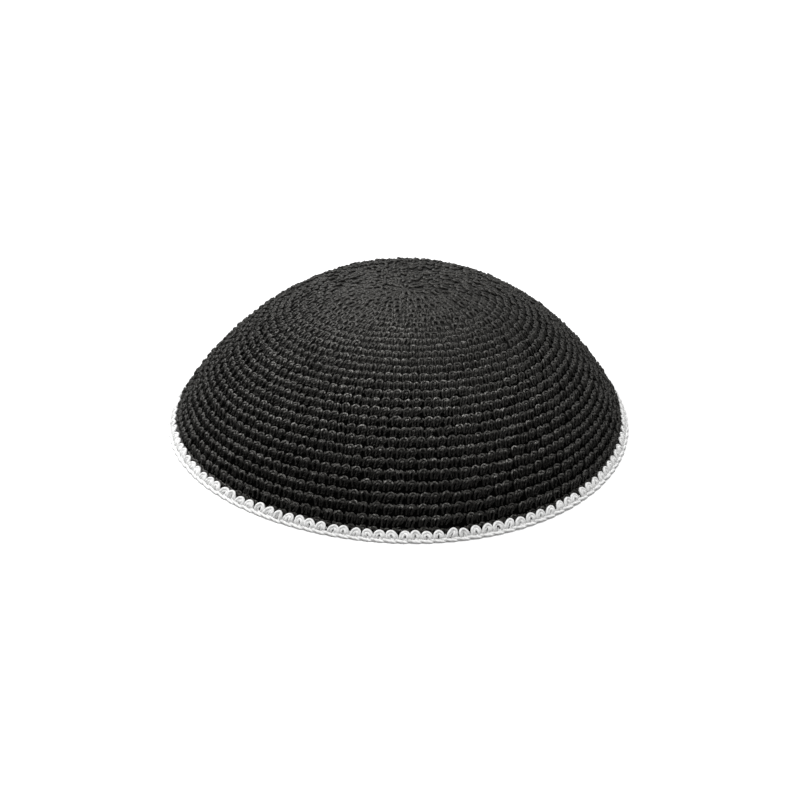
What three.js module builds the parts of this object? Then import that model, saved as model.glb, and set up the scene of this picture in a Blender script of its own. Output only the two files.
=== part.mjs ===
// A crocheted skullcap: a black dome worked in rounds from the middle of the crown outwards,
// and one round of white edging whose stitches lap over the dome's lower edge.
// Millimetres, +Z up. The cap rests on its rim at z = 0, and its front faces -Y.
import * as THREE from "three";

// The cap as a whole
const rimRadius = 70; // outside of the edging where it rests
const capDepth = 49; // from the rim's plane to the top of the crown
const wallThickness = 2.2; // crocheted cotton, measured over the ribs
const flankTuck = 1.1; // how far the flank draws in from a true sphere
const fitGap = 0.3; // between the dome and its edging

// The dome
const crownRounds = 32;
const ribDepth = 0.5; // groove between two rounds
const crownSides = 40;
const insideRows = 13;

// The edging
const edgingStitches = 121;
const stepsPerStitch = 3;
const chainHeight = 1.7; // the chain of loops along the very rim
const edgingHeight = 3.9; // from the rim to the tops of the stitches
const stitchThickness = 0.75; // of the part that laps over the dome
const stitchNotch = 1.7; // how far the edging drops between two stitches
const chainBulge = 0.15; // how far the chain stands out of the dome's surface
const chainBelly = 0.9; // height at which it stands out most
const hemRounding = 0.35; // rounding of the flattened underside

// How the soft cap settles out of round: lobes round the rim, with their size along +X and +Y
const rimLobes = [
  { lobes: 2, alongX: 1.3, alongY: 0.3 },
  { lobes: 3, alongX: -1.0, alongY: 0.2 },
];
const crownLean = { x: 0.6, y: -0.9 }; // how far the crown's middle stands off the rim's

const domeRadius = (rimRadius ** 2 + capDepth ** 2) / (2 * capDepth);
const rimAngle = Math.asin(rimRadius / domeRadius);
const rimToCrown = domeRadius * rimAngle; // along the outside of the wall

// The wall's profile: up is the way along the wall from the rim, out the way off its outside.
function wallPoint(up, out) {
  const share = 1 - up / rimToCrown; // 0 at the crown's middle, 1 at the rim
  const angle = rimAngle * share;
  const reach = domeRadius + out;
  const tuck = flankTuck * (27 / 4) * share ** 2 * (1 - share); // peaks two thirds of the way down
  return new THREE.Vector2(
    reach * Math.sin(angle) - tuck,
    reach * Math.cos(angle) - domeRadius + capDepth,
  );
}

// A point of the underside, which lies flat on the surface below, some way in from the rim.
function hemPoint(inwards) {
  return new THREE.Vector2(rimRadius - inwards, 0);
}

function lathe(profile, sides) {
  return new THREE.LatheGeometry(profile, sides).rotateX(Math.PI / 2);
}

// Moves a round piece to where the soft cloth settles: a little out of round, the crown leaning.
function settle(geometry) {
  const place = geometry.getAttribute("position");
  for (let i = 0; i < place.count; i++) {
    const azimuth = Math.atan2(place.getY(i), place.getX(i));
    const height = place.getZ(i) / capDepth;
    let widening = 0;
    for (const { lobes, alongX, alongY } of rimLobes) {
      widening += alongX * Math.cos(lobes * azimuth) + alongY * Math.sin(lobes * azimuth);
    }
    const stretch = 1 + (widening / rimRadius) * (1 - height);
    place.setX(i, place.getX(i) * stretch + crownLean.x * height);
    place.setY(i, place.getY(i) * stretch + crownLean.y * height);
  }
  return geometry;
}

// The dome: a ribbed outside, a smooth inside, and a thin lip that goes behind the edging.
function crownGeometry() {
  const shoulder = edgingHeight + fitGap;
  const lipEnd = chainHeight + fitGap;
  const lipOut = -(stitchThickness + fitGap);
  const roundHeight = (rimToCrown - shoulder) / crownRounds;
  const profile = [];
  for (let round = 0; round < crownRounds; round++) {
    const top = rimToCrown - round * roundHeight;
    profile.push(wallPoint(top, -ribDepth), wallPoint(top - roundHeight / 2, 0));
  }
  profile.push(
    wallPoint(shoulder, -ribDepth),
    wallPoint(shoulder, lipOut),
    wallPoint(lipEnd, lipOut),
  );
  for (let row = 0; row <= insideRows; row++) {
    const up = lipEnd + (rimToCrown - lipEnd) * (row / insideRows);
    profile.push(wallPoint(up, -wallThickness));
  }
  return settle(lathe(profile.reverse(), crownSides));
}

// The edging: a chain that lies on the surface, and stitches that stand up over the dome's lip.
function edgingGeometry() {
  const hemWidth = wallThickness / Math.sin(rimAngle);
  const section = [
    hemPoint(hemWidth - hemRounding),
    hemPoint(hemRounding),
    wallPoint(chainBelly, chainBulge),
    wallPoint(edgingHeight, 0),
    wallPoint(edgingHeight, -stitchThickness),
    wallPoint(chainHeight, -stitchThickness),
    wallPoint(chainHeight, -wallThickness),
  ];
  section.push(section[0].clone());
  const tops = [3, 4]; // the section's points at a stitch's top
  const band = lathe(section, edgingStitches * stepsPerStitch);
  const place = band.getAttribute("position");
  const slope = wallPoint(edgingHeight - stitchNotch, 0).sub(wallPoint(edgingHeight, 0));
  for (let i = 0; i < place.count; i++) {
    const step = Math.floor(i / section.length);
    if (step % stepsPerStitch === 0 && tops.includes(i % section.length)) {
      const widen = 1 + slope.x / Math.hypot(place.getX(i), place.getY(i));
      place.setXYZ(i, place.getX(i) * widen, place.getY(i) * widen, place.getZ(i) + slope.y);
    }
  }
  return settle(band);
}

function cottonMesh(name, geometry, color) {
  const cotton = new THREE.MeshStandardMaterial({ color, roughness: 0.85, metalness: 0 });
  const mesh = new THREE.Mesh(geometry, cotton);
  mesh.name = name;
  return mesh;
}

const cap = new THREE.Group();
cap.add(cottonMesh("crown", crownGeometry(), 0x1d1c1a));
cap.add(cottonMesh("edging", edgingGeometry(), 0xf1f1ef));

// The settled rim is centred on the origin.
const middle = new THREE.Box3().setFromObject(cap).getCenter(new THREE.Vector3());
cap.children.forEach((piece) => piece.position.set(-middle.x, -middle.y, 0));

export default cap;
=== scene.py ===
import math
import bpy
import numpy as np
from mathutils import Matrix, Vector


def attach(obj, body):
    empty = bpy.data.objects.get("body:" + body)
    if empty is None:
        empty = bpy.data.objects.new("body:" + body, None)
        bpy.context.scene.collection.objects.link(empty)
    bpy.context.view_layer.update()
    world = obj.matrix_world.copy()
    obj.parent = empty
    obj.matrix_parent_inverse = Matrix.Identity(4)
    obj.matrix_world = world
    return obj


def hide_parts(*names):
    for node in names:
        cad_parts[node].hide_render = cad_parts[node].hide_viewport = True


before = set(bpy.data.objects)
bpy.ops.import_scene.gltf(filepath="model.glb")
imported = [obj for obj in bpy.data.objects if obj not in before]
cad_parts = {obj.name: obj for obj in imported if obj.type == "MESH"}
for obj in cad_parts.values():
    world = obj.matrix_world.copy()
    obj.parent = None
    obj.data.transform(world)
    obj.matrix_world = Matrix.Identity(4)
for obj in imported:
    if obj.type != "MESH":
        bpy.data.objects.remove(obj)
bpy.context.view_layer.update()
print("frame loaded:", sorted(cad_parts))

millimetre = 0.001
fullTurn = 2 * math.pi
outStep = 0.5        # mm from a path to the points that show which way is out of the fabric
leastLength = 1e-12  # keeps a path that stands still from being divided by nothing

# the cap's form, in mm, the same as the solids have
capForm = {
    "rimRadius": 70.0,    # outside of the edging where it rests
    "capDepth": 49.0,
    "flankTuck": 1.1,     # how far the flank draws in from a true sphere
    "tuckScale": 27 / 4,  # makes the tuck whole where it is greatest, two thirds of the way down
    "chainBelly": 0.9,    # where the edging is widest: height along the wall
    "chainBulge": 0.15,   # and how far it stands out there
    "ringPoints": 721,    # round that widest ring
    "lobes": [(2, 1.3, 0.3), (3, -1.0, 0.2)],  # lobes round the rim, size along X and Y
    "lean": (0.6, -0.9),  # the crown's middle against the rim's
}
domeRadius = (capForm["rimRadius"] ** 2 + capForm["capDepth"] ** 2) / (2 * capForm["capDepth"])
rimAngle = math.asin(capForm["rimRadius"] / domeRadius)
rimToCrown = domeRadius * rimAngle


def settledPoint(share, azimuth, out):
    # share runs from 0 at the crown's middle to 1 at the rim, out is the way off the outside
    reach = domeRadius + out
    tuck = capForm["flankTuck"] * capForm["tuckScale"] * share ** 2 * (1 - share)
    radius = reach * np.sin(rimAngle * share) - tuck
    z = reach * np.cos(rimAngle * share) - domeRadius + capForm["capDepth"]
    height = z / capForm["capDepth"]
    widening = 0
    for lobes, alongX, alongY in capForm["lobes"]:
        widening = widening + alongX * np.cos(lobes * azimuth) + alongY * np.sin(lobes * azimuth)
    radius = radius * (1 + widening / capForm["rimRadius"] * (1 - height))
    x = radius * np.cos(azimuth) + capForm["lean"][0] * height
    y = radius * np.sin(azimuth) + capForm["lean"][1] * height
    return np.stack(np.broadcast_arrays(x, y, z), axis=-1)


# the solids are centred on the box of their widest ring, so this form is too
widestShare = 1 - capForm["chainBelly"] / rimToCrown
ringAzimuths = np.linspace(0, fullTurn, capForm["ringPoints"])
widestRing = settledPoint(widestShare, ringAzimuths, capForm["chainBulge"])
ringMiddle = (widestRing.max(0) + widestRing.min(0)) / 2 * np.array([1, 1, 0])


def onDome(share, azimuth, out):
    return settledPoint(share, azimuth, out) - ringMiddle


# the rounds of black stitches wind outwards from the middle of the crown as one spiral
rounds = {
    "count": 32,
    "widthAtCrown": 2.5,         # of a stitch, in mm
    "widthAtRim": 3.45,
    "fewest": 8,                 # stitches in a round
    "doubleSpread": 0.25,        # two stitches worked into one stand this far to its sides, in widths
    "evenTimes": 12,             # so often the stitches of a round even out their distances
    "evenShare": 0.2,            # and so much each time
    "startRadius": 1.0,          # of the ring of yarn that the first round is worked into
    "closest": 0.2,              # share of that radius which no yarn goes inside of
    "lowerEdge": 1.5,            # way along the wall from the rim to the end of the last round
    "startShift": (0.4, -3.6),   # the spiral's middle against the top of the dome
    "shiftFade": 4,              # power by which that shift fades towards the rim
    "tightMiddle": 0.08,         # how much closer the first rounds lie
    "frontLift": 0.30,           # how much higher the rounds lie at the front, halfway down
    "endTaper": 0.16,            # share of a turn in which the last round runs out
    "shortest": 0.35,            # stitches lower than this share of a round are left out there
    "seamAzimuth": math.pi / 2,  # where it runs out, at the back
    "seed": 11,
}
firstShare = rounds["startRadius"] / rimToCrown
lastShare = 1 - rounds["lowerEdge"] / rimToCrown


def roundsAt(turn):
    # how many rounds there are from the middle to the edge at that part of a turn
    part = turn % 1.0
    over = np.clip((part - 1 + rounds["endTaper"]) / rounds["endTaper"], 0, 1)
    return rounds["count"] + part - over * over * (3 - 2 * over)  # starts and ends softly


def onRounds(place, turn, out):
    # place counts rounds from the middle
    azimuth = rounds["seamAzimuth"] + fullTurn * turn
    down = place / roundsAt(turn)
    front = -np.sin(azimuth)
    lift = rounds["frontLift"] * down * (1 - down) * front * (1 + front) / 2
    lift = lift + rounds["tightMiddle"] * down * (1 - down) ** 2
    share = firstShare + (lastShare - firstShare) * (down - lift)
    share = np.maximum(share, rounds["closest"] * firstShare)
    fade = np.clip(1 - share, 0, 1) ** rounds["shiftFade"] / rimToCrown
    east = share * np.cos(azimuth) + rounds["startShift"][0] * fade
    north = share * np.sin(azimuth) + rounds["startShift"][1] * fade
    return onDome(np.hypot(east, north), np.arctan2(north, east), out)


def roundHeight(row, middle):
    # the last round gets lower where it runs out
    last = row == rounds["count"] - 1
    return np.where(last, np.clip(roundsAt(middle) - row - middle % 1.0, 0, 1), 1.0)


def evenOut(places):
    # stitches of one round move towards the middle between their neighbours
    for again in range(rounds["evenTimes"]):
        before = np.roll(places, 1)
        after = np.roll(places, -1)
        before[0] -= 1
        after[-1] += 1
        places = places + rounds["evenShare"] * (before + after - 2 * places)
    return places


def workRound(parents, count, draw):
    # one stitch into each of the round before, and two into some of them
    extra = max(0, count - len(parents))
    doubled = (np.arange(extra) + draw.random()) * len(parents) / max(1, extra)
    doubled = set(doubled.astype(int))
    places = []
    worked = []
    for index, parent in enumerate(parents):
        spread = rounds["doubleSpread"] / len(parents) if index in doubled else 0
        for side in ((-1, 1) if spread else (0,)):
            places.append(parent + side * spread)
            worked.append(parent)
    return evenOut(np.array(places)), np.array(worked)


def layStitches():
    # each stitch: its round, its middle and that of the stitch it is worked into, and its width, in turns
    draw = np.random.default_rng(rounds["seed"])
    found = []
    for row in range(rounds["count"]):
        share = lastShare * (row + 1.0) / rounds["count"]
        ring = fullTurn * domeRadius * math.sin(rimAngle * share)
        width = rounds["widthAtCrown"] + (rounds["widthAtRim"] - rounds["widthAtCrown"]) * share
        count = max(rounds["fewest"], round(ring / width))
        if row == 0:
            places = np.arange(count) / count
            worked = places.copy()
        else:
            places, worked = workRound(places, count, draw)
        widths = np.roll(places, -1) - np.roll(places, 1)
        widths[0] += 1
        widths[-1] += 1
        for place, parent, width in zip(places, worked, widths / 2):
            found.append((row, place, parent, width))
    found = np.array(found)
    return found[roundHeight(found[:, 0], found[:, 1]) > rounds["shortest"]]


# yarn: strands that wind about the yarn's middle, each one a tube, along many paths at once
def unit(ways):
    return ways / (np.linalg.norm(ways, axis=-1, keepdims=True) + leastLength)


def wayFrame(paths, outwards):
    # across the path, out of the fabric, and the length run up to each step
    along = unit(np.gradient(paths, axis=1))
    side = unit(np.cross(along, outwards))
    lengths = np.linalg.norm(np.diff(paths, axis=1), axis=-1)
    run = np.concatenate([np.zeros((len(paths), 1)), np.cumsum(lengths, axis=1)], axis=1)
    return side, np.cross(side, along), run


def layStrands(paths, outwards, yarn, phase, fullness=1.0):
    # the phase is the first strand's place about the yarn's middle, halfway along the path
    side, up, run = wayFrame(paths, outwards)
    halfway = run[:, run.shape[1] // 2][:, None]
    offset = yarn["strandOffset"] * np.broadcast_to(fullness, len(paths))[:, None, None]
    angle = phase[:, None] + fullTurn * (run - halfway) / yarn["twistLength"]
    found = []
    for strand in range(yarn["strands"]):
        place = (angle + fullTurn * strand / yarn["strands"])[..., None]
        found.append(paths + offset * (side * np.cos(place) + up * np.sin(place)))
    return np.concatenate(found), np.concatenate([outwards] * yarn["strands"])


def strandTubes(paths, outwards, radius, corners):
    side, up, run = wayFrame(paths, outwards)
    around = np.arange(corners) / corners * fullTurn
    size = np.broadcast_to(radius, paths.shape[:2])[..., None]
    points = paths[:, :, None] + side[:, :, None] * (np.cos(around) * size)[..., None]
    points = points + up[:, :, None] * (np.sin(around) * size)[..., None]
    return points, run


def tubeFaces(strands, steps, corners):
    # the four points of each face on the sides, and the points of the two caps of every strand
    first = np.arange(strands) * steps * corners
    corner = np.arange(corners)
    following = (corner + 1) % corners
    low = (first[:, None] + np.arange(steps - 1) * corners)[..., None]
    high = low + corners
    sides = np.stack([low + corner, low + following, high + following, high + corner], axis=-1)
    startCap = first[:, None] + corner[::-1]
    endCap = first[:, None] + (steps - 1) * corners + corner
    return sides.reshape(-1, 4), np.concatenate([startCap, endCap])


def tubeMesh(name, points):
    strands, steps, corners = points.shape[:3]
    sides, caps = tubeFaces(strands, steps, corners)
    loops = np.concatenate([sides.ravel(), caps.ravel()])
    totals = np.concatenate([np.full(len(sides), 4), np.full(len(caps), corners)])
    starts = np.concatenate([[0], np.cumsum(totals)[:-1]])
    smooth = np.concatenate([np.ones(len(sides), bool), np.zeros(len(caps), bool)])
    mesh = bpy.data.meshes.new(name)
    mesh.vertices.add(strands * steps * corners)
    mesh.vertices.foreach_set("co", (points.reshape(-1) * millimetre).astype(np.float32))
    mesh.loops.add(len(loops))
    mesh.loops.foreach_set("vertex_index", loops.astype(np.int32))
    mesh.polygons.add(len(totals))
    mesh.polygons.foreach_set("loop_start", starts.astype(np.int32))
    mesh.polygons.foreach_set("loop_total", totals.astype(np.int32))
    mesh.polygons.foreach_set("use_smooth", smooth)
    mesh.update(calc_edges=True)
    return mesh


def faceAround(corners):
    # how far round the strand the four points of each face are
    corner = np.arange(corners)
    return np.stack([corner, corner + 1, corner + 1, corner], axis=-1) / corners


def yarnMap(run, corners):
    # along the strand in mm, and once around it; the caps are one spot
    low = run[:, :-1, None]
    high = run[:, 1:, None]
    along = np.stack([low, low, high, high], axis=-1)
    sides = np.stack(np.broadcast_arrays(along, faceAround(corners)), axis=-1)
    return np.concatenate([sides.reshape(-1, 2), np.zeros((2 * len(run) * corners, 2))])


# the second map gives every strand a cell of its own: its sides, and the two caps over them
strandCell = {
    "margin": 0.05,
    "sidesWidth": 0.9,
    "sidesHeight": 0.75,
    "capsAcross": (0.2, 0.6),
    "capsUp": 0.9,
    "capWidth": 0.1,
    "capHeight": 0.06,
}


def cellMap(strands, steps, corners):
    columns = math.ceil(math.sqrt(strands))
    lines = math.ceil(strands / columns)
    column = np.arange(strands) % columns
    line = np.arange(strands) // columns
    low = (np.arange(steps - 1) / (steps - 1))[:, None]
    high = low + 1 / (steps - 1)
    along = np.stack([low, low, high, high], axis=-1)
    across = strandCell["margin"] + strandCell["sidesWidth"] * along
    upwards = strandCell["margin"] + strandCell["sidesHeight"] * faceAround(corners)
    across = (across + column[:, None, None, None]) / columns
    upwards = (upwards + line[:, None, None, None]) / lines
    cells = [np.stack(np.broadcast_arrays(across, upwards), axis=-1).reshape(-1, 2)]
    around = np.arange(corners) / corners * fullTurn
    for capAcross in strandCell["capsAcross"]:
        across = capAcross + strandCell["capWidth"] * np.cos(around) + column[:, None]
        upwards = strandCell["capsUp"] + strandCell["capHeight"] * np.sin(around) + line[:, None]
        cells.append(np.stack([across / columns, upwards / lines], axis=-1).reshape(-1, 2))
    return np.concatenate(cells)


def addMap(mesh, name, places):
    layer = mesh.uv_layers.new(name=name)
    layer.uv.foreach_set("vector", places.astype(np.float32).ravel())


def addValue(mesh, name, values):
    layer = mesh.attributes.new(name, "FLOAT", "POINT")
    layer.data.foreach_set("value", values.astype(np.float32))


def meshObject(name, mesh, material):
    piece = bpy.data.objects.new(name, mesh)
    bpy.context.scene.collection.objects.link(piece)
    mesh.materials.append(material)
    return piece


def yarnObject(name, points, run, tones, material, crest=None):
    # points is strands x steps x corners; every strand is closed at both ends
    strands, steps, corners = points.shape[:3]
    mesh = tubeMesh(name, points)
    addMap(mesh, "yarn", yarnMap(run, corners))
    addMap(mesh, "OFBake", cellMap(strands, steps, corners))
    addValue(mesh, "strandTone", np.repeat(tones, steps * corners))
    if crest is not None:
        # crest says where the painted highlights fall on each strand
        addValue(mesh, "crest", np.repeat(crest.reshape(-1), corners))
    mesh.validate()
    return meshObject(name, mesh, material)


# cotton: fibres run along the plies, the grooves between plies are darker with painted shade, and no two
# strands are alike
cottonLook = {
    "strandStep": 40,        # how far apart in the grain two strands are that differ by a whole tone
    "grainRoughness": 0.65,
    "fibresPerLength": 1.5,  # in a mm
    "fibreDetail": 4,
    "fibreShare": 0.45,      # how much the fibres lighten the colour
    "plies": 3,
    "grooveDepth": 0.1,      # mm
    "patchScale": 60,        # patches in a metre
    "patchDetail": 3,
    "patchShare": 0.35,      # how much the patches lighten it
    "paintedHighlightsPerLength": 1.4,  # in a mm
    "paintedHighlightsAround": 4,
    "paintedHighlightDetail": 2,
    "paintedHighlightFrom": 0.48,      # grain over this is a painted highlight
    "paintedHighlightEdge": 10,        # and how sharply it starts
}
blackLook = dict(cottonLook, **{
    "dark": (0.001, 0.001, 0.00095),
    "light": (0.007, 0.0069, 0.0065),
    # the painted highlights' colour, far paler than the yarn itself
    "paintedHighlight": (0.32, 0.314, 0.3),
    "roughness": 0.38,
    "specular": 0.6,
    "glint": (1.0, 0.97, 0.91),
    "sheen": 0.02,
    "sheenRoughness": 0.4,
    "sheenTint": (1, 1, 0.98),
    "fibresAround": 7,
    "fibreDepth": 0.2,
    "plyLength": 1.3,        # mm along the strand from one ply to the next
    "grooveShade": 0.4,
    "bump": 1.0,
})
whiteLook = dict(cottonLook, **{
    "dark": (0.76, 0.76, 0.755),
    "light": (0.95, 0.95, 0.945),
    "paintedHighlight": (0.95, 0.95, 0.945),
    "roughness": 0.7,
    "specular": 0.3,
    "glint": (1, 1, 1),
    "sheen": 0.1,
    "sheenRoughness": 0.5,
    "sheenTint": (1, 1, 1),
    "fibresAround": 8,
    "fibreDepth": 0.15,
    "plyLength": 1.6,
    "grooveShade": 0.3,
    "bump": 0.7,
})
# the yarn deep in the fabric is painted darker and duller than the rest, as painted shade, and the yarn
# under the first rounds is dull and painted paler, as painted light that fades to painted shade further down
innerShadeLook = dict(blackLook, light=(0.001, 0.001, 0.001), roughness=0.95, specular=0.03, sheen=0.0)
paintedBedLook = dict(blackLook, light=(0.05, 0.049, 0.047), roughness=0.9, specular=0.08)


def cottonYarn(name, look):
    material = bpy.data.materials.new(name)
    material.use_nodes = True
    nodes, links = material.node_tree.nodes, material.node_tree.links
    shader = nodes["Principled BSDF"]
    shader.inputs["Roughness"].default_value = look["roughness"]
    shader.inputs["Sheen Weight"].default_value = look["sheen"]
    shader.inputs["Sheen Roughness"].default_value = look["sheenRoughness"]
    shader.inputs["Sheen Tint"].default_value = (*look["sheenTint"], 1)
    shader.inputs["Specular IOR Level"].default_value = look["specular"]
    shader.inputs["Specular Tint"].default_value = (*look["glint"], 1)

    def combine(operation, first, second=None, third=None):
        node = nodes.new("ShaderNodeMath")
        node.operation = operation
        for socket, value in zip(node.inputs, (first, second, third)):
            if isinstance(value, bpy.types.NodeSocket):
                links.new(value, socket)
            elif value is not None:
                socket.default_value = value
        return node.outputs["Value"]

    place = nodes.new("ShaderNodeUVMap")
    place.uv_map = "yarn"
    across = nodes.new("ShaderNodeSeparateXYZ")
    links.new(place.outputs["UV"], across.inputs["Vector"])
    tone = nodes.new("ShaderNodeAttribute")
    tone.attribute_name = "strandTone"

    def grain(perLength, around, detail):
        # noise drawn out along the strand, another part of it for every strand
        spot = nodes.new("ShaderNodeCombineXYZ")
        links.new(combine("MULTIPLY", across.outputs["X"], perLength), spot.inputs["X"])
        links.new(combine("MULTIPLY", across.outputs["Y"], around), spot.inputs["Y"])
        links.new(combine("MULTIPLY", tone.outputs["Fac"], look["strandStep"]), spot.inputs["Z"])
        noise = nodes.new("ShaderNodeTexNoise")
        noise.inputs["Scale"].default_value = 1
        noise.inputs["Detail"].default_value = detail
        noise.inputs["Roughness"].default_value = look["grainRoughness"]
        links.new(spot.outputs["Vector"], noise.inputs["Vector"])
        return noise.outputs["Fac"]

    fibres = grain(look["fibresPerLength"], look["fibresAround"], look["fibreDetail"])

    # thin plies wind round the strand: 0 on the back of one, 1 in the groove beside it
    turns = combine("MULTIPLY", across.outputs["X"], fullTurn / look["plyLength"])
    angle = combine("MULTIPLY_ADD", across.outputs["Y"], fullTurn * look["plies"], turns)
    groove = combine("MULTIPLY_ADD", combine("COSINE", angle), -0.5, 0.5)

    patches = nodes.new("ShaderNodeTexNoise")
    patches.inputs["Scale"].default_value = look["patchScale"]
    patches.inputs["Detail"].default_value = look["patchDetail"]
    spot = nodes.new("ShaderNodeTexCoord")
    links.new(spot.outputs["Object"], patches.inputs["Vector"])

    # painted highlights: short pale strokes on the crest of a stitch, standing in for the light from above
    # that catches the top of the arch
    crest = nodes.new("ShaderNodeAttribute")
    crest.attribute_name = "crest"
    paintedHighlights = grain(look["paintedHighlightsPerLength"], look["paintedHighlightsAround"], look["paintedHighlightDetail"])
    paintedHighlights = combine("MULTIPLY_ADD", paintedHighlights, look["paintedHighlightEdge"], -look["paintedHighlightFrom"] * look["paintedHighlightEdge"])
    paintedHighlights = combine("MINIMUM", combine("MAXIMUM", paintedHighlights, 0), 1)
    paintedHighlights = combine("MULTIPLY", paintedHighlights, crest.outputs["Fac"])

    # the ramp's first half is the yarn's own colour, with painted shade in the ply grooves, and its second
    # half the painted highlights
    light = combine("MULTIPLY_ADD", fibres, look["fibreShare"], tone.outputs["Fac"])
    light = combine("MULTIPLY_ADD", patches.outputs["Fac"], look["patchShare"], light)
    # painted shade: the grooves between plies are darkened in the colour
    light = combine("MULTIPLY_ADD", groove, -look["grooveShade"], light)
    light = combine("MINIMUM", light, 1)
    light = combine("MAXIMUM", combine("MULTIPLY", light, 0.5), paintedHighlights)
    ramp = nodes.new("ShaderNodeValToRGB")
    ramp.color_ramp.elements[0].position = 0.0
    ramp.color_ramp.elements[0].color = (*look["dark"], 1)
    ramp.color_ramp.elements[1].position = 0.5
    ramp.color_ramp.elements[1].color = (*look["light"], 1)
    ramp.color_ramp.elements.new(1.0).color = (*look["paintedHighlight"], 1)
    links.new(light, ramp.inputs["Fac"])
    links.new(ramp.outputs["Color"], shader.inputs["Base Color"])

    height = combine("MULTIPLY_ADD", groove, -look["grooveDepth"] / look["fibreDepth"], fibres)
    bump = nodes.new("ShaderNodeBump")
    bump.inputs["Strength"].default_value = look["bump"]
    bump.inputs["Distance"].default_value = look["fibreDepth"] * millimetre
    links.new(height, bump.inputs["Height"])
    links.new(bump.outputs["Normal"], shader.inputs["Normal"])
    return material


blackCotton = cottonYarn("blackCotton", blackLook)
paintedBedCotton = cottonYarn("paintedBedCotton", paintedBedLook)
innerShadeCotton = cottonYarn("innerShadeCotton", innerShadeLook)
whiteCotton = cottonYarn("whiteCotton", whiteLook)
print("cotton made")


def seat(piece, node):
    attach(piece, "root")
    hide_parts(node)


# black stitches: an arch of yarn whose legs go down behind the arches of the next round
blackStitch = {
    "strands": 2,
    "strandRadius": 0.345,
    "radiusSpread": 0.07,    # how much the radius differs between strands
    "thinFrom": 0.7,         # share of the way from the top to a foot where a strand starts to thin
    "thinning": 0.12,
    "strandOffset": 0.37,    # from the yarn's middle to a strand's
    "firstRounds": 1.5,      # the yarn is this much fuller in the first round
    "fullRounds": 16,        # and as it should be from this one on
    "twistLength": 26.0,
    "lieSpread": 0.1,        # of a turn, how much the strands' lie differs between stitches
    "legSpread": 0.25,       # of the stitch's width, from its middle to a leg
    "legParting": -0.07,     # at their feet the legs draw together by this
    "widthSpread": 0.05,
    "sideSpread": 0.055,     # how far a stitch stands off its place, in widths
    "slant": -0.22,          # single crochet leans: its foot stands this far off its top, in widths
    "slantSpread": 0.16,
    "slantAt": 0.5,          # the height that keeps its place, in rounds
    "parentPull": 0.4,       # how much the top keeps to the stitch that it is worked into
    "startReach": 0.12,      # the first round starts at the ring: its tops follow this much of the spiral
    "topAt": 0.27,           # middle of the yarn at the top of the arch, in rounds
    "bendShare": 0.55,       # of the way to a foot, before the legs run straight
    "bendHeight": 0.25,      # and how far down that is
    "footAt": 1.06,
    "dropSpread": 0.04,
    "crest": -0.50,          # the yarn's middle under the outside of the wall, in mm
    "crestAt": 0.45,
    "topDip": 0.3,           # how much deeper it lies at the top
    "footDip": 1.5,          # and at the feet
    "sideTilt": 0.08,        # one leg stands further out than the other
    "calmMiddle": 0.2,       # share of these dips that the crown's middle has
    "calmTo": 0.55,          # share of the way to the rim where they are whole
    "liftSpread": 0.06,
    "lastDip": 0.85,         # the last round lies deeper, under the edging
    "deepest": -1.4,         # where the fabric's other side keeps the yarn from going deeper
    "tone": 0.3,             # how light the strands are
    "toneSpread": 0.14,
    "lightest": 0.6,
    "paintedHighlightsTo": 0.68,       # painted highlights end there on the way down an arch
    "paintedHighlightsFade": 0.35,
    "paintedHighlightsAt": (0, 0.35, 0.6, 1),            # shares of the way to the rim
    "paintedHighlightsThere": (0.35, 0.85, 0.95, 0.65),  # and how strong the painted highlights are there
    "paintedHighlightsBehind": 0.5,                      # the sides and the back get fewer painted highlights than the front
    "paintedHighlightsUneven": (0.7, 1.2),               # and no two strands the same
    "steps": 13,
    "corners": 5,
    "mostPerPiece": 780,     # stitches
    "seed": 12,
    "paintedHighlightSeed": 13,
}


def archOf(shape):
    # from one foot over the top to the other: the way across, in stitch widths, and how much of the
    # bend and of the leg is past
    way = np.linspace(-1, 1, shape["steps"])[None]
    bend = np.clip(np.abs(way) / shape["bendShare"], 0, 1) * math.pi / 2
    leg = np.clip((np.abs(way) - shape["bendShare"]) / (1 - shape["bendShare"]), 0, 1)
    across = np.sign(way) * (shape["legSpread"] * np.sin(bend) + shape["legParting"] * leg)
    return across, 1 - np.cos(bend), leg


def stitchPaths(stitches, shape, draw):
    count = len(stitches)
    row, middle, parent, width = [stitches[:, i][:, None] for i in range(4)]
    across, bend, leg = archOf(shape)
    down = shape["topAt"] + shape["bendHeight"] * bend
    down = down + (shape["footAt"] - shape["topAt"] - shape["bendHeight"]) * leg
    over = np.clip((shape["crestAt"] - down) / (shape["crestAt"] - shape["topAt"]), 0, 1)
    under = np.clip((down - shape["crestAt"]) / (shape["footAt"] - shape["crestAt"]), 0, 1)
    calm = np.clip(row / rounds["count"] / shape["calmTo"], 0, 1)
    relief = shape["calmMiddle"] + (1 - shape["calmMiddle"]) * calm
    dip = shape["topDip"] * over ** 2 + shape["footDip"] * under
    dip = dip - shape["sideTilt"] * across / shape["legSpread"]
    out = shape["crest"] - relief * dip

    sideways = draw.normal(0, shape["sideSpread"], (count, 1))
    slant = draw.normal(shape["slant"], shape["slantSpread"], (count, 1))
    lift = draw.normal(0, shape["liftSpread"], (count, 1)) * relief
    drop = draw.normal(0, shape["dropSpread"], (count, 1))
    across = across * (1 + draw.normal(0, shape["widthSpread"], (count, 1)))
    across = across + sideways + slant * (down - shape["slantAt"])
    last = np.clip(row + middle + 2 - roundsAt(middle), 0, 1)  # 1 in the round that the edging covers
    out = np.maximum(out + lift - shape["lastDip"] * last, shape["deepest"])
    down = down + drop
    turn = middle + (parent - middle) * (1 - np.clip(down, 0, 1)) * shape["parentPull"] + across * width
    reach = np.clip((down - shape["topAt"]) / (shape["footAt"] - shape["topAt"]), 0, 1)
    reach = shape["startReach"] + (1 - shape["startReach"]) * reach
    place = row + turn * np.where(row == 0, reach, 1) + down * roundHeight(row, middle)
    return onRounds(place, turn, out), onRounds(place, turn, out + outStep)


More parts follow.
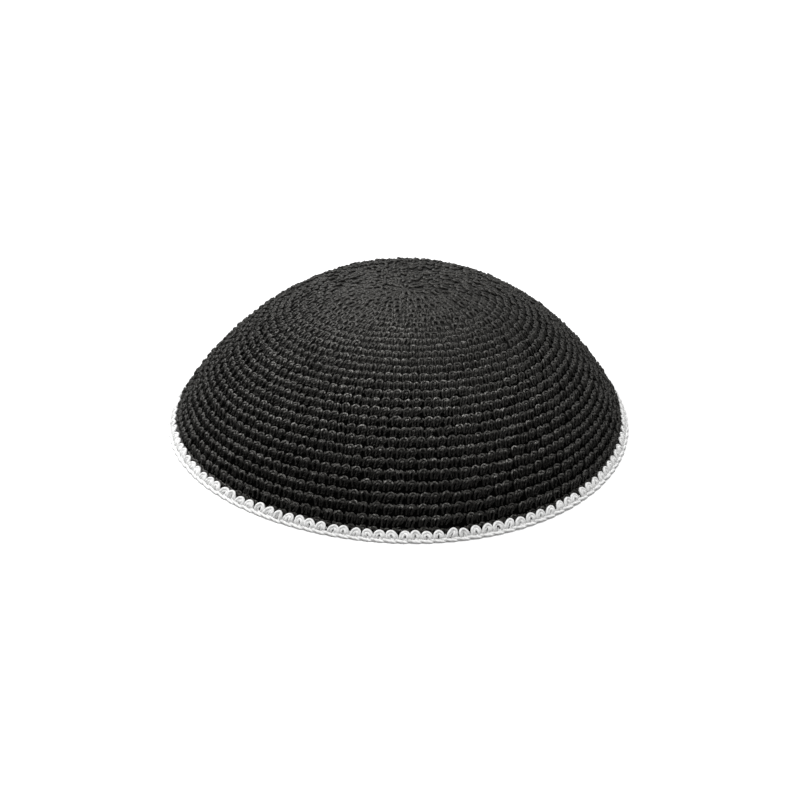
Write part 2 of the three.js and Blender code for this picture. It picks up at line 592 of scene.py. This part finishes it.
draw = np.random.default_rng(blackStitch["seed"])
stitches = layStitches()
print("black stitches:", len(stitches))
paths, above = stitchPaths(stitches, blackStitch, draw)
lie = draw.normal(0, blackStitch["lieSpread"] * fullTurn, len(stitches))
fullness = np.clip(1 - stitches[:, 0] / blackStitch["fullRounds"], 0, 1)
fullness = 1 + (blackStitch["firstRounds"] - 1) * fullness
strands, outwards = layStrands(paths, above - paths, blackStitch, lie, fullness)
ends = np.abs(np.linspace(-1, 1, blackStitch["steps"]))
thin = np.clip((ends - blackStitch["thinFrom"]) / (1 - blackStitch["thinFrom"]), 0, 1)
strandRadius = blackStitch["strandRadius"] * (1 - blackStitch["thinning"] * thin)
strandRadius = strandRadius[None] * np.tile(fullness, blackStitch["strands"])[:, None]
strandRadius = strandRadius * (1 + draw.normal(0, blackStitch["radiusSpread"], (len(strands), 1)))
points, run = strandTubes(strands, outwards, strandRadius, blackStitch["corners"])
tones = draw.normal(blackStitch["tone"], blackStitch["toneSpread"], len(strands))
tones = np.clip(tones, 0, blackStitch["lightest"])

# how strong the painted highlights are along each strand
paintedHighlightDown = stitches[:, 0] / rounds["count"]
paintedHighlightShare = np.interp(paintedHighlightDown, blackStitch["paintedHighlightsAt"], blackStitch["paintedHighlightsThere"])
front = np.clip(-np.sin(rounds["seamAzimuth"] + fullTurn * stitches[:, 1]), 0, 1)
paintedHighlightShare = paintedHighlightShare * (blackStitch["paintedHighlightsBehind"] + (1 - blackStitch["paintedHighlightsBehind"]) * front)
paintedHighlightShare = np.tile(paintedHighlightShare, blackStitch["strands"])
paintedHighlightDraw = np.random.default_rng(blackStitch["paintedHighlightSeed"])
paintedHighlightShare = paintedHighlightShare * paintedHighlightDraw.uniform(*blackStitch["paintedHighlightsUneven"], len(paintedHighlightShare))
# the painted highlights' mask: whole over the arch's top, fading out part way down the legs, scaled by how
# strong they are there
crest = np.clip((blackStitch["paintedHighlightsTo"] - ends) / blackStitch["paintedHighlightsFade"], 0, 1)
crest = crest[None] * np.minimum(paintedHighlightShare, 1)[:, None]

# as many whole rounds in a piece as it may hold
rowOf = np.tile(stitches[:, 0], blackStitch["strands"])
number = 1
bandStart = 0
for row in range(rounds["count"]):
    chosen = (rowOf >= bandStart) & (rowOf <= row)
    following = (stitches[:, 0] >= bandStart) & (stitches[:, 0] <= row + 1)
    if row == rounds["count"] - 1 or following.sum() > blackStitch["mostPerPiece"]:
        band = yarnObject(
            f"crown_rounds_{number}", points[chosen], run[chosen], tones[chosen], blackCotton, crest[chosen],
        )
        seat(band, "crown")
        print("rounds", bandStart + 1, "to", row + 1, "strands", int(chosen.sum()))
        number += 1
        bandStart = row + 1

# the inside shows a short bar across the back of every stitch
backBar = {
    "yarnRadius": 0.52,
    "halfLength": 0.56,   # in stitch widths
    "at": 0.42,           # in rounds
    "slope": 0.12,
    "placeSpread": 0.03,
    "depth": -1.62,
    "depthSpread": 0.04,
    "endDip": 0.4,        # how far its ends go back into the fabric
    "steps": 5,
    "corners": 6,
}


def barPaths(stitches, shape, draw):
    count = len(stitches)
    row, middle, width = [stitches[:, i][:, None] for i in (0, 1, 3)]
    way = np.linspace(-1, 1, shape["steps"])[None]
    turn = middle + way * shape["halfLength"] * width
    down = shape["at"] + shape["slope"] * way + draw.normal(0, shape["placeSpread"], (count, 1))
    place = row + turn + down * roundHeight(row, middle)
    out = shape["depth"] + shape["endDip"] * way ** 4 + draw.normal(0, shape["depthSpread"], (count, 1))
    return onRounds(place, turn, out), onRounds(place, turn, out + outStep)


paths, above = barPaths(stitches, backBar, draw)
points, run = strandTubes(paths, above - paths, backBar["yarnRadius"], backBar["corners"])
inside = yarnObject("crown_inside", points, run, tones[:len(stitches)], blackCotton)
seat(inside, "crown")
print("bars on the inside:", len(stitches))

# the ring of yarn in the middle of the crown, drawn nearly shut
startRing = {
    "radius": 0.5,
    "yarnRadius": 0.5,
    "depth": -0.7,
    "turns": 1.02,  # its end lies over its start
    "rise": 0.1,    # by so much
    "tone": 0.2,
    "steps": 33,
    "corners": 8,
}


def ringPath(shape):
    turn = np.linspace(0, shape["turns"], shape["steps"])[None]
    place = (shape["radius"] - rounds["startRadius"]) / (rimToCrown / rounds["count"])
    place = np.full_like(turn, place)
    out = shape["depth"] + shape["rise"] * turn
    return onRounds(place, turn, out), onRounds(place, turn, shape["depth"] + outStep)


paths, above = ringPath(startRing)
points, run = strandTubes(paths, above - paths, startRing["yarnRadius"], startRing["corners"])
middleRing = yarnObject("crown_middle", points, run, np.array([startRing["tone"]]), blackCotton)
seat(middleRing, "crown")
print("ring in the middle laid")

# yarn behind the stitches, so that no light comes through the fabric, painted darker as painted shade; the
# first rounds are worked so tightly that a bed of it fills the valleys between their stitches, and fades out
# further down, its colour painted paler near the crown as painted light and darker further down as painted
# shade
core = {
    "outside": -1.25,                                 # mm off the outside of the wall
    "inside": -1.6,
    "start": 0.003,                                   # share of the way to the rim
    "around": 120,
    "rows": 32,
    "bedAt": (0.0, 0.12, 0.3, 0.42, 0.52),            # shares of the way to the rim
    "bedOutside": (-0.45, -0.5, -0.75, -1.05, -1.3),
    "bedPaintedShade": (0.8, 0.55, 0.15, -0.1, -0.5),         # painted light and shade: how light it is there, paler near the crown and darker further down
    "bedInside": -1.4,
    "bedRows": 20,
    "grainAround": 440,                               # mm of grain in a turn
}


def shellObject(name, shares, outs, around, material, tones=None):
    # a closed profile of (share, out) pairs turned round the dome
    azimuth = np.arange(around) / around * fullTurn
    points = onDome(np.array(shares)[:, None], azimuth[None], np.array(outs)[:, None])
    rows = len(shares)
    here = np.arange(around)
    there = (here + 1) % around
    faces = []
    for row in range(rows):
        low = row * around
        high = (row + 1) % rows * around
        faces += np.stack([low + here, low + there, high + there, high + here], axis=-1).tolist()
    mesh = bpy.data.meshes.new(name)
    mesh.from_pydata((points.reshape(-1, 3) * millimetre).tolist(), [], faces)
    mesh.polygons.foreach_set("use_smooth", np.ones(len(faces), bool))
    mesh.update()
    alongGrain = faceAround(around) * core["grainAround"]
    acrossGrain = np.arange(rows)[:, None, None] + np.array([0, 0, 1, 1])
    addMap(mesh, "yarn", np.stack(np.broadcast_arrays(alongGrain, acrossGrain), axis=-1))
    # for the bed these tones are its painted light and shade
    if tones is not None:
        addValue(mesh, "strandTone", np.repeat(tones, around))
    return meshObject(name, mesh, material)


def coreObject(name, shares, inside, outside, material, tones=None):
    profile = np.concatenate([shares[::-1], shares])
    outs = np.concatenate([np.full(len(shares), inside), outside])
    if tones is not None:
        tones = np.concatenate([tones[::-1], tones])
    shell = shellObject(name, profile, outs, core["around"], material, tones)
    seat(shell, "crown")


coreShares = np.linspace(core["start"], lastShare, core["rows"])
coreOutside = np.full(core["rows"], core["outside"])
# the core is painted darker and duller than the yarn, as painted shade
coreObject("crown_core", coreShares, core["inside"], coreOutside, innerShadeCotton)
bedShares = np.linspace(core["start"], core["bedAt"][-1], core["bedRows"])
bedOutside = np.interp(bedShares, core["bedAt"], core["bedOutside"])
bedPaintedShades = np.interp(bedShares, core["bedAt"], core["bedPaintedShade"])
# the bed's colour is painted light near the crown and painted shade further down
coreObject("crown_bed", bedShares, core["bedInside"], bedOutside, paintedBedCotton, bedPaintedShades)
print("yarn behind the stitches laid")

# white edging: one round of arches hooked into the last black round
edging = {
    "stitches": 121,
    "placeSpread": 0.07,  # how far a stitch stands off its place, in widths
    "strands": 2,
    "strandRadius": 0.42,
    "strandOffset": 0.36,
    "twistLength": 40.0,
    "lieSpread": 0.035,
    "legSpread": 0.27,    # of the stitch's width
    "legParting": 0.0,
    "widthSpread": 0.09,
    "heightSpread": 0.08,
    "slantSpread": 0.15,
    "slantAt": 0.5,       # the share of the height that keeps its place
    "topAt": 3.15,        # middle of the yarn, way along the wall from the rim, in mm
    "bendShare": 0.55,
    "bendHeight": 1.2,
    "footAt": 1.0,
    "crest": -0.4,
    "topDip": 0.3,
    "footDip": 0.95,
    "restsAt": 0.02,      # mm over the floor
    "tone": 0.35,
    "toneSpread": 0.08,
    "lightest": 0.6,
    "steps": 21,
    "corners": 7,
    "seed": 5,
}


def pressFlat(points):
    # yarn at the rim is pressed flat where the cap rests on it
    points[..., 2] = np.maximum(points[..., 2], edging["restsAt"])


def upTheWall(up, turn, out):
    # up is the way along the wall from the rim, in mm
    return onDome(1 - up / rimToCrown, turn * fullTurn, out)


def edgingPaths(shape, draw):
    count = shape["stitches"]
    middle = ((np.arange(count) + draw.normal(0, shape["placeSpread"], count)) / count)[:, None]
    across, bend, leg = archOf(shape)
    across = across * (1 + draw.normal(0, shape["widthSpread"], (count, 1)))
    tall = 1 + draw.normal(0, shape["heightSpread"], (count, 1))
    height = shape["topAt"] - shape["footAt"]
    fall = shape["bendHeight"] * bend + (height - shape["bendHeight"]) * leg
    up = shape["footAt"] + (height - fall) * tall
    slant = draw.normal(0, shape["slantSpread"], (count, 1))
    across = across + slant * (shape["slantAt"] - fall / height)
    out = shape["crest"] - shape["topDip"] * (1 - bend) ** 2 - shape["footDip"] * leg ** 2
    turn = middle + across / count
    return upTheWall(up, turn, out), upTheWall(up, turn, out + outStep)


draw = np.random.default_rng(edging["seed"])
paths, above = edgingPaths(edging, draw)
lie = draw.normal(0, edging["lieSpread"] * fullTurn, edging["stitches"])
strands, outwards = layStrands(paths, above - paths, edging, lie)
points, run = strandTubes(strands, outwards, edging["strandRadius"], edging["corners"])
pressFlat(points)
whiteTones = draw.normal(edging["tone"], edging["toneSpread"], len(strands))
whiteTones = np.clip(whiteTones, 0, edging["lightest"])
edgingStitches = yarnObject("edging_stitches", points, run, whiteTones, whiteCotton)
seat(edgingStitches, "edging")
print("edging stitches:", edging["stitches"])

# the chain along the rim: loops lying flat, each pulled through the one before
chain = {
    "strandRadius": 0.52,
    "length": 1.4,        # of a stitch's width
    "placeSpread": 0.04,
    "halfWidth": 0.85,    # mm across the wall
    "narrowEnd": 0.4,     # share of that width at the end which is pulled tight
    "widthSpread": 0.05,
    "middle": -0.95,      # mm off the outside of the wall
    "height": 0.72,       # way along the wall from the rim, in mm
    "rise": 0.42,         # the tight end lies this much higher, and the other as much lower
    "heightSpread": 0.03,
    "steps": 25,
    "corners": 8,
}


def chainPaths(shape, count, draw):
    way = np.linspace(0, 1, shape["steps"])[None] * fullTurn
    start = ((np.arange(count) + draw.normal(0, shape["placeSpread"], count)) / count)[:, None]
    ahead = (1 - np.cos(way)) / 2
    wide = np.sin(way) * (shape["narrowEnd"] + (1 - shape["narrowEnd"]) * ahead)
    turn = start + shape["length"] * ahead / count
    wide = wide * (1 + draw.normal(0, shape["widthSpread"], (count, 1)))
    out = shape["middle"] + shape["halfWidth"] * wide
    up = shape["height"] + shape["rise"] * np.cos(way) + draw.normal(0, shape["heightSpread"], (count, 1))
    return upTheWall(up, turn, out), upTheWall(up + outStep, turn, out)


paths, above = chainPaths(chain, edging["stitches"], draw)
points, run = strandTubes(paths, above - paths, chain["strandRadius"], chain["corners"])
pressFlat(points)
edgingChain = yarnObject("edging_chain", points, run, whiteTones[:edging["stitches"]], whiteCotton)
seat(edgingChain, "edging")

# the edging's inside: a bar behind every stitch, and yarn between those and the stitches
edgingBar = {
    "yarnRadius": 0.6,
    "halfLength": 0.55,  # in stitch widths
    "up": 1.5,           # way along the wall from the rim, in mm
    "slope": 0.35,
    "heightSpread": 0.05,
    "depth": -1.55,
    "endDip": 0.3,
    "steps": 7,
    "corners": 6,
}
# low and high are ways along the wall from the rim, the other two are off its outside, in mm
edgingCore = {"low": 0.85, "high": 1.3, "outside": -1.15, "inside": -1.5, "around": 120}


def edgingBars(shape, count, draw):
    way = np.linspace(-1, 1, shape["steps"])[None]
    turn = (np.arange(count)[:, None] + shape["halfLength"] * way) / count
    up = shape["up"] + shape["slope"] * way + draw.normal(0, shape["heightSpread"], (count, 1))
    out = shape["depth"] + shape["endDip"] * way ** 4
    return upTheWall(up, turn, out), upTheWall(up, turn, out + outStep)


paths, above = edgingBars(edgingBar, edging["stitches"], draw)
points, run = strandTubes(paths, above - paths, edgingBar["yarnRadius"], edgingBar["corners"])
pressFlat(points)
edgingInside = yarnObject("edging_inside", points, run, whiteTones[:edging["stitches"]], whiteCotton)
seat(edgingInside, "edging")
lowShare = 1 - edgingCore["low"] / rimToCrown
highShare = 1 - edgingCore["high"] / rimToCrown
edgingShell = shellObject(
    "edging_core", [lowShare, highShare, highShare, lowShare],
    [edgingCore["inside"], edgingCore["inside"], edgingCore["outside"], edgingCore["outside"]],
    edgingCore["around"], whiteCotton,
)
seat(edgingShell, "edging")
print("chain and inside of the edging laid")

# the floor
floorLook = {"size": 6.0, "colour": (0.93, 0.93, 0.93), "roughness": 0.9, "specular": 0.1}


def makeFloor():
    half = floorLook["size"] / 2
    corners = [(-half, -half, 0), (half, -half, 0), (half, half, 0), (-half, half, 0)]
    mesh = bpy.data.meshes.new("floor")
    mesh.from_pydata(corners, [], [(0, 1, 2, 3)])
    material = bpy.data.materials.new("floorPaper")
    material.use_nodes = True
    shader = material.node_tree.nodes["Principled BSDF"]
    shader.inputs["Base Color"].default_value = (*floorLook["colour"], 1)
    shader.inputs["Roughness"].default_value = floorLook["roughness"]
    shader.inputs["Specular IOR Level"].default_value = floorLook["specular"]
    floor = meshObject("floor", mesh, material)
    floor.visible_glossy = False  # or the paper's white shows in every strand
    floor.visible_diffuse = False


makeFloor()
print("floor laid")

# light: soft boxes over the cap, on both sides, behind it on both sides and in front, and a bright sky;
# places and sizes in metres, power in watts
lamps = {
    "over": {"place": (-0.25, 0.1, 1.4), "size": 0.6, "power": 8.0},
    "beside": {"place": (-1.3, 0.0, 0.8), "size": 0.7, "power": 3.2},
    "behind": {"place": (-1.0, 0.9, 0.6), "size": 0.7, "power": 8.5},
    "front": {"place": (-0.4, -1.2, 0.9), "size": 0.9, "power": 1.35},
    "right": {"place": (1.0, -0.8, 0.7), "size": 0.6, "power": 0.5},
    "behindRight": {"place": (0.9, 0.9, 0.7), "size": 0.6, "power": 1.9},
}
lampAim = (0, 0, 0.02)
# the sky gets brighter between two heights, from 0 at the horizon to 1 overhead
sky = {"ground": 0.1, "groundTo": -0.1, "top": 0.92, "topFrom": 0.6}


def makeLight(name, light):
    data = bpy.data.lights.new(name, "AREA")
    data.shape = "DISK"
    data.size = light["size"]
    data.energy = light["power"]
    lamp = bpy.data.objects.new(name, data)
    lamp.location = light["place"]
    aim = Vector(lampAim) - lamp.location
    lamp.rotation_euler = aim.to_track_quat("-Z", "Y").to_euler()
    bpy.context.scene.collection.objects.link(lamp)


def makeSky():
    world = bpy.data.worlds.new("studio")
    bpy.context.scene.world = world
    world.use_nodes = True
    nodes, links = world.node_tree.nodes, world.node_tree.links
    way = nodes.new("ShaderNodeTexCoord")
    parts = nodes.new("ShaderNodeSeparateXYZ")
    links.new(way.outputs["Generated"], parts.inputs["Vector"])
    ramp = nodes.new("ShaderNodeMapRange")
    ramp.inputs["From Min"].default_value = sky["groundTo"]
    ramp.inputs["From Max"].default_value = sky["topFrom"]
    ramp.inputs["To Min"].default_value = sky["ground"]
    ramp.inputs["To Max"].default_value = sky["top"]
    links.new(parts.outputs["Z"], ramp.inputs["Value"])
    links.new(ramp.outputs["Result"], nodes["Background"].inputs["Strength"])
    nodes["Background"].inputs["Color"].default_value = (1, 1, 1, 1)


for lampName in lamps:
    makeLight(lampName, lamps[lampName])
makeSky()
bpy.context.scene.view_settings.view_transform = "Standard"

# camera: as far off as the photograph's, looking at the middle of its frame
cameraSetup = {
    "elevation": 29.4,             # degrees
    "distance": 0.84,              # metres
    "sightHeight": 0.021,          # this point over the rim's middle is seen at sightPixel
    "sightPixel": (401.8, 363.5),
    "focalPixels": 2740,
    "frameSize": 800,
    "sensorWidth": 36,             # mm
    "roll": 0.48,                  # degrees
}


def makeCamera():
    setup = cameraSetup
    tilt = math.radians(setup["elevation"])
    data = bpy.data.cameras.new("camera")
    data.sensor_width = setup["sensorWidth"]
    data.lens = setup["focalPixels"] / setup["frameSize"] * data.sensor_width
    camera = bpy.data.objects.new("camera", data)
    sight = Vector((-ringMiddle[0] * millimetre, -ringMiddle[1] * millimetre, setup["sightHeight"]))
    camera.location = sight + setup["distance"] * Vector((0, -math.cos(tilt), math.sin(tilt)))
    centre = setup["frameSize"] / 2
    pan = math.atan((setup["sightPixel"][0] - centre) / setup["focalPixels"])
    nod = math.atan((setup["sightPixel"][1] - centre) / setup["focalPixels"])
    look = Matrix.Rotation(math.radians(90) - tilt, 3, "X")
    turn = Matrix.Rotation(pan, 3, "Y") @ Matrix.Rotation(nod, 3, "X")
    roll = Matrix.Rotation(math.radians(setup["roll"]), 3, "Z")
    camera.rotation_euler = (look @ turn @ roll).to_euler()
    bpy.context.scene.collection.objects.link(camera)
    bpy.context.scene.camera = camera


makeCamera()
print("camera and lights set")
